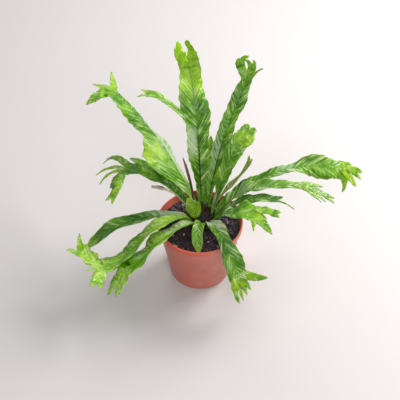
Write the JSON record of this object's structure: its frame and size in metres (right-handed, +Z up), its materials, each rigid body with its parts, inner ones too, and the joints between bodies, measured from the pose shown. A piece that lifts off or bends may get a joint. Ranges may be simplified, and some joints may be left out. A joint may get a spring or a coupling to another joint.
{
  "type": "potted fern",
  "caption": "Crested bird's-nest fern with waved, fork-tipped strap fronds rising and arching from a scaly crown in a tapered terracotta-coloured plastic nursery pot.",
  "frame": {"origin": "middle of the pot's underside, on the surface that it stands on", "axes": "+Z up through the pot's axis, -Y towards the front that the picture looks at, +X to the picture's right"},
  "size_m": [0.4085, 0.3185, 0.3199],
  "materials": {
    "pot": "satin moulded plastic, terracotta orange",
    "potting_mix": "damp dark bark and peat crumbs",
    "crown": "matt dark brown papery scales",
    "leaf_bright": "glossy yellow-green leaf",
    "leaf_mid": "glossy mid-green leaf",
    "leaf_dark": "glossy deep-green leaf",
    "leaf_dry": "dull brown dried frond"
  },
  "bodies": {
    "root": {"pot": "pot", "potting_mix": "potting_mix", "crown": "crown", "frond_back_thin": "leaf_bright", "frond_right_bright": "leaf_bright", "frond_right_mid": "leaf_bright", "frond_left_lower": "leaf_bright", "frond_back_left": "leaf_bright", "frond_young": "leaf_bright", "frond_back_tall": "leaf_mid", "frond_right_tall": "leaf_mid", "frond_right_long": "leaf_mid", "frond_front_hanging": "leaf_mid", "frond_front_strap": "leaf_mid", "frond_left_upper": "leaf_mid", "frond_left_hand": "leaf_mid", "frond_back_hidden": "leaf_mid", "frond_right_dark": "leaf_dark", "frond_right_low": "leaf_dark", "frond_left_arched": "leaf_dark", "frond_left_dark": "leaf_dark", "frond_right_dry": "leaf_dry", "stem_knobbed": "leaf_dry", "frond_dry_upright": "leaf_dry"}
  },
  "joints": []
}
